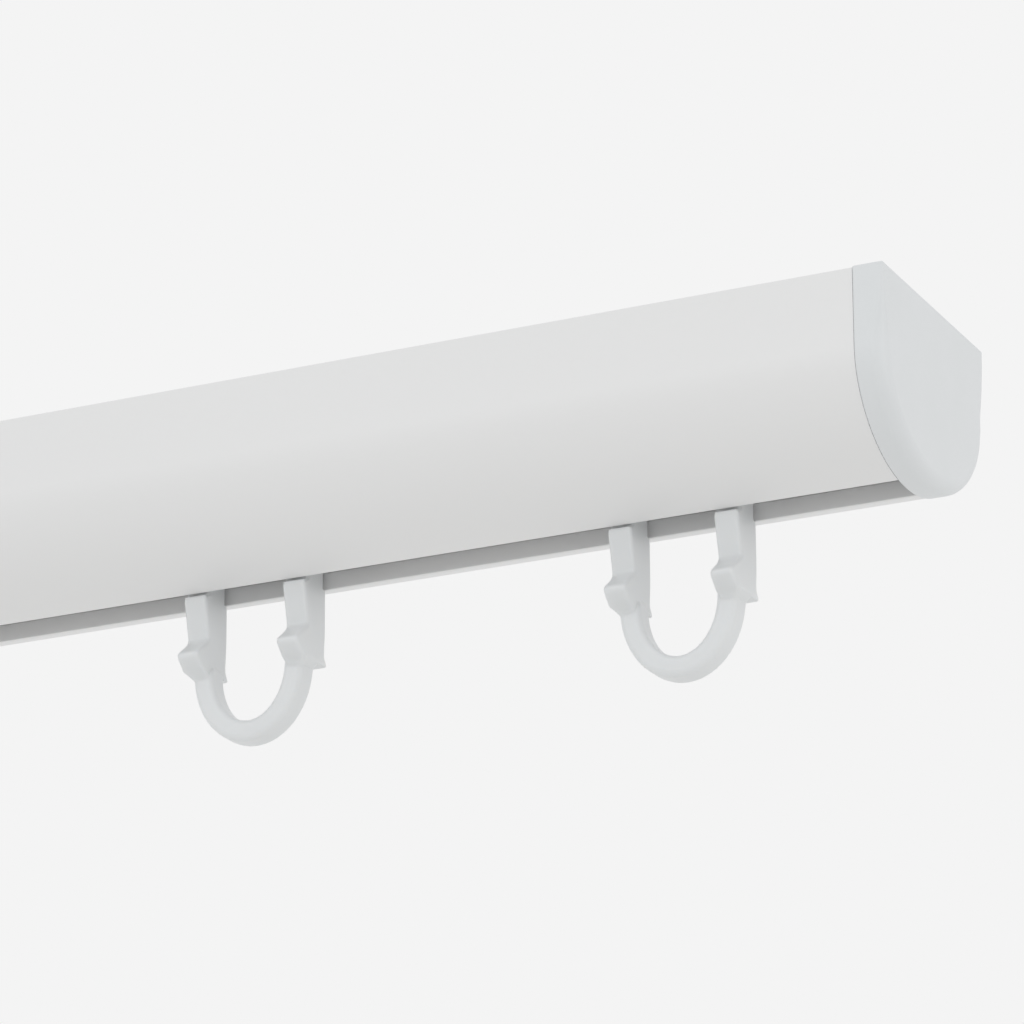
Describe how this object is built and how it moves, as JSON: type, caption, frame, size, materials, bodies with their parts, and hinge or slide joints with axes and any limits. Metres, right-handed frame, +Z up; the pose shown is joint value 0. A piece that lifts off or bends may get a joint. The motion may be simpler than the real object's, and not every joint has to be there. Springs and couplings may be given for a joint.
{
  "type": "curtain rail with wall brackets",
  "caption": "White slotted curtain rail with a domed underside, flush end caps, sliding U-shaped gliders and wall brackets with turn-to-lock clips.",
  "frame": {"origin": "centre of the four wall-screw holes, on the wall's surface, behind the middle of the rail", "axes": "+X along the rail, to the right as seen from the room; +Y into the wall; +Z up"},
  "size_m": [0.8, 0.0782, 0.101],
  "materials": {
    "rail_aluminium": "white satin powder coat on extruded aluminium",
    "cap_plastic": "white moulded plastic, satin",
    "glider_plastic": "white acetal, moulded, satin",
    "clip_plastic": "white moulded nylon, matt",
    "bracket_steel": "white satin powder coat on bent steel strip",
    "plated_zinc": "die-cast zinc, plated, dull",
    "plated_steel": "bright zinc plate"
  },
  "bodies": {
    "rail_assembly": {"rail": "rail_aluminium", "end_cap_left": "cap_plastic", "end_cap_right": "cap_plastic", "wall_bracket_left": "bracket_steel", "wall_bracket_right": "bracket_steel", "clip_base_left": "clip_plastic", "clip_base_right": "clip_plastic", "pivot_screw_left": "plated_steel", "pivot_screw_right": "plated_steel", "lock_washer_left": "plated_steel", "lock_washer_right": "plated_steel", "lock_nut_left": "plated_steel", "lock_nut_right": "plated_steel"},
    "glider_01": {"glider_01": "glider_plastic"},
    "glider_02": {"glider_02": "glider_plastic"},
    "glider_03": {"glider_03": "glider_plastic"},
    "glider_04": {"glider_04": "glider_plastic"},
    "glider_05": {"glider_05": "glider_plastic"},
    "glider_06": {"glider_06": "glider_plastic"},
    "glider_07": {"glider_07": "glider_plastic"},
    "glider_08": {"glider_08": "glider_plastic"},
    "glider_09": {"glider_09": "glider_plastic"},
    "glider_10": {"glider_10": "glider_plastic"},
    "glider_11": {"glider_11": "glider_plastic"},
    "glider_12": {"glider_12": "glider_plastic"},
    "lock_lever_left": {"lock_lever_left": "plated_zinc"},
    "lock_lever_right": {"lock_lever_right": "plated_zinc"}
  },
  "joints": [
    {"name": "glider_01_slide", "type": "slide", "parent": "rail_assembly", "child": "glider_01", "axis": [1, 0, 0], "range_m": [-0.0216, 0.0216]},
    {"name": "glider_02_slide", "type": "slide", "parent": "glider_01", "child": "glider_02", "axis": [1, 0, 0], "range_m": [0, 0.0436]},
    {"name": "glider_03_slide", "type": "slide", "parent": "glider_02", "child": "glider_03", "axis": [1, 0, 0], "range_m": [0, 0.0436]},
    {"name": "glider_04_slide", "type": "slide", "parent": "glider_03", "child": "glider_04", "axis": [1, 0, 0], "range_m": [0, 0.0436]},
    {"name": "glider_05_slide", "type": "slide", "parent": "glider_04", "child": "glider_05", "axis": [1, 0, 0], "range_m": [0, 0.0436]},
    {"name": "glider_06_slide", "type": "slide", "parent": "glider_05", "child": "glider_06", "axis": [1, 0, 0], "range_m": [0, 0.0436]},
    {"name": "glider_07_slide", "type": "slide", "parent": "glider_06", "child": "glider_07", "axis": [1, 0, 0], "range_m": [0, 0.0436]},
    {"name": "glider_08_slide", "type": "slide", "parent": "glider_07", "child": "glider_08", "axis": [1, 0, 0], "range_m": [0, 0.0436]},
    {"name": "glider_09_slide", "type": "slide", "parent": "glider_08", "child": "glider_09", "axis": [1, 0, 0], "range_m": [0, 0.0436]},
    {"name": "glider_10_slide", "type": "slide", "parent": "glider_09", "child": "glider_10", "axis": [1, 0, 0], "range_m": [0, 0.0436]},
    {"name": "glider_11_slide", "type": "slide", "parent": "glider_10", "child": "glider_11", "axis": [1, 0, 0], "range_m": [0, 0.0436]},
    {"name": "glider_12_slide", "type": "slide", "parent": "glider_11", "child": "glider_12", "axis": [1, 0, 0], "range_m": [0, 0.0436]},
    {"name": "lock_lever_left_turn", "type": "hinge", "parent": "rail_assembly", "child": "lock_lever_left", "pos_m": [-0.2, -0.06, -0.0326], "axis": [0, 0, 1], "range_deg": [-90, 0]},
    {"name": "lock_lever_right_turn", "type": "hinge", "parent": "rail_assembly", "child": "lock_lever_right", "pos_m": [0.2, -0.06, -0.0326], "axis": [0, 0, 1], "range_deg": [-90, 0]}
  ]
}
